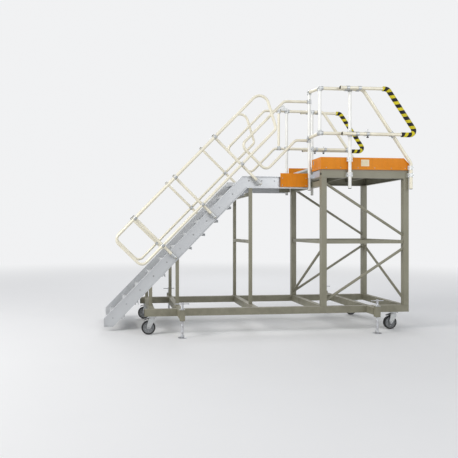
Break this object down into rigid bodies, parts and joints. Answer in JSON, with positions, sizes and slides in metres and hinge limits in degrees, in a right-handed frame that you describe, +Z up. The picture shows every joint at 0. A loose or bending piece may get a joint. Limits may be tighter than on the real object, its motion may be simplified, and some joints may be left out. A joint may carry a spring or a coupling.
{
  "type": "aircraft maintenance stand",
  "caption": "Wheeled platform stand with a straight stair, handrail loops, guardrails and foam-tipped sliding guards at its open end.",
  "frame": {"origin": "middle of the footprint on the floor", "axes": "+X from the stair towards the aircraft, +Y to the far side, +Z up"},
  "size_m": [4.6258, 2.034, 3.6579],
  "materials": {
    "base_paint": "satin powder coat, grey beige",
    "zinc_steel": "galvanised castings and pressings",
    "plank_aluminium": "mill finish extrusions",
    "orange_board": "orange yellow powder coat",
    "post_tube": "pale satin tube",
    "rail_tube": "pale ivory satin tube",
    "striped_foam": "foam tube with black and yellow stripes",
    "wheel_rim": "grey casting",
    "wheel_tyre": "black rubber",
    "jack_steel": "bright screw"
  },
  "bodies": {
    "stand": {"chassis_frame": "base_paint", "jack_housings": "base_paint", "tower_legs": "base_paint", "tower_ties": "base_paint", "tower_braces": "base_paint", "stair_supports": "base_paint", "deck_frame": "base_paint", "towing_clevis": "zinc_steel", "castor_heads": "zinc_steel", "guard_fittings": "zinc_steel", "post_brackets": "zinc_steel", "slide_guides": "zinc_steel", "flight_clamps": "zinc_steel", "flight_shoes": "zinc_steel", "deck_planks": "plank_aluminium", "landing_planks": "plank_aluminium", "stair_treads": "plank_aluminium", "stair_stringers": "plank_aluminium", "toe_boards": "orange_board", "landing_toe_boards": "orange_board", "guard_posts": "post_tube", "guard_rails": "rail_tube", "guard_mid_rails": "rail_tube", "end_guard_rails": "rail_tube", "landing_loops": "rail_tube", "flight_handrails": "rail_tube", "flight_posts": "rail_tube"},
    "near_slide": {"near_slide_tube": "rail_tube", "near_slide_bumper": "striped_foam"},
    "far_slide": {"far_slide_tube": "rail_tube", "far_slide_bumper": "striped_foam"},
    "castor_front_near": {"castor_fork_front_near": "zinc_steel"},
    "wheel_front_near": {"castor_hub_front_near": "wheel_rim", "castor_tyre_front_near": "wheel_tyre"},
    "castor_front_far": {"castor_fork_front_far": "zinc_steel"},
    "wheel_front_far": {"castor_hub_front_far": "wheel_rim", "castor_tyre_front_far": "wheel_tyre"},
    "castor_rear_near": {"castor_fork_rear_near": "zinc_steel"},
    "wheel_rear_near": {"castor_hub_rear_near": "wheel_rim", "castor_tyre_rear_near": "wheel_tyre"},
    "castor_rear_far": {"castor_fork_rear_far": "zinc_steel"},
    "wheel_rear_far": {"castor_hub_rear_far": "wheel_rim", "castor_tyre_rear_far": "wheel_tyre"},
    "jack_front_near": {"jack_front_near": "jack_steel"},
    "jack_front_far": {"jack_front_far": "jack_steel"},
    "jack_rear_near": {"jack_rear_near": "jack_steel"},
    "jack_rear_far": {"jack_rear_far": "jack_steel"}
  },
  "joints": [
    {"name": "near_guard_slide", "type": "slide", "parent": "stand", "child": "near_slide", "axis": [1, 0, 0], "range_m": [-0.22, 0.06]},
    {"name": "far_guard_slide", "type": "slide", "parent": "stand", "child": "far_slide", "axis": [1, 0, 0], "range_m": [-0.22, 0.06]},
    {"name": "castor_swivel_front_near", "type": "hinge", "parent": "stand", "child": "castor_front_near", "pos_m": [2.0049, -0.665, 0.24], "axis": [0, 0, 1], "continuous": true},
    {"name": "wheel_spin_front_near", "type": "hinge", "parent": "castor_front_near", "child": "wheel_front_near", "pos_m": [1.9549, -0.665, 0.1], "axis": [0, 1, 0], "continuous": true},
    {"name": "castor_swivel_front_far", "type": "hinge", "parent": "stand", "child": "castor_front_far", "pos_m": [2.0049, 0.665, 0.24], "axis": [0, 0, 1], "continuous": true},
    {"name": "wheel_spin_front_far", "type": "hinge", "parent": "castor_front_far", "child": "wheel_front_far", "pos_m": [1.9549, 0.665, 0.1], "axis": [0, 1, 0], "continuous": true},
    {"name": "castor_swivel_rear_near", "type": "hinge", "parent": "stand", "child": "castor_rear_near", "pos_m": [-1.6251, -0.665, 0.24], "axis": [0, 0, 1], "continuous": true},
    {"name": "wheel_spin_rear_near", "type": "hinge", "parent": "castor_rear_near", "child": "wheel_rear_near", "pos_m": [-1.6751, -0.665, 0.1], "axis": [0, 1, 0], "continuous": true},
    {"name": "castor_swivel_rear_far", "type": "hinge", "parent": "stand", "child": "castor_rear_far", "pos_m": [-1.6251, 0.665, 0.24], "axis": [0, 0, 1], "continuous": true},
    {"name": "wheel_spin_rear_far", "type": "hinge", "parent": "castor_rear_far", "child": "wheel_rear_far", "pos_m": [-1.6751, 0.665, 0.1], "axis": [0, 1, 0], "continuous": true},
    {"name": "jack_lift_front_near", "type": "slide", "parent": "stand", "child": "jack_front_near", "axis": [0, 0, 1], "range_m": [0, 0.12]},
    {"name": "jack_lift_front_far", "type": "slide", "parent": "stand", "child": "jack_front_far", "axis": [0, 0, 1], "range_m": [0, 0.12]},
    {"name": "jack_lift_rear_near", "type": "slide", "parent": "stand", "child": "jack_rear_near", "axis": [0, 0, 1], "range_m": [0, 0.12]},
    {"name": "jack_lift_rear_far", "type": "slide", "parent": "stand", "child": "jack_rear_far", "axis": [0, 0, 1], "range_m": [0, 0.12]}
  ]
}
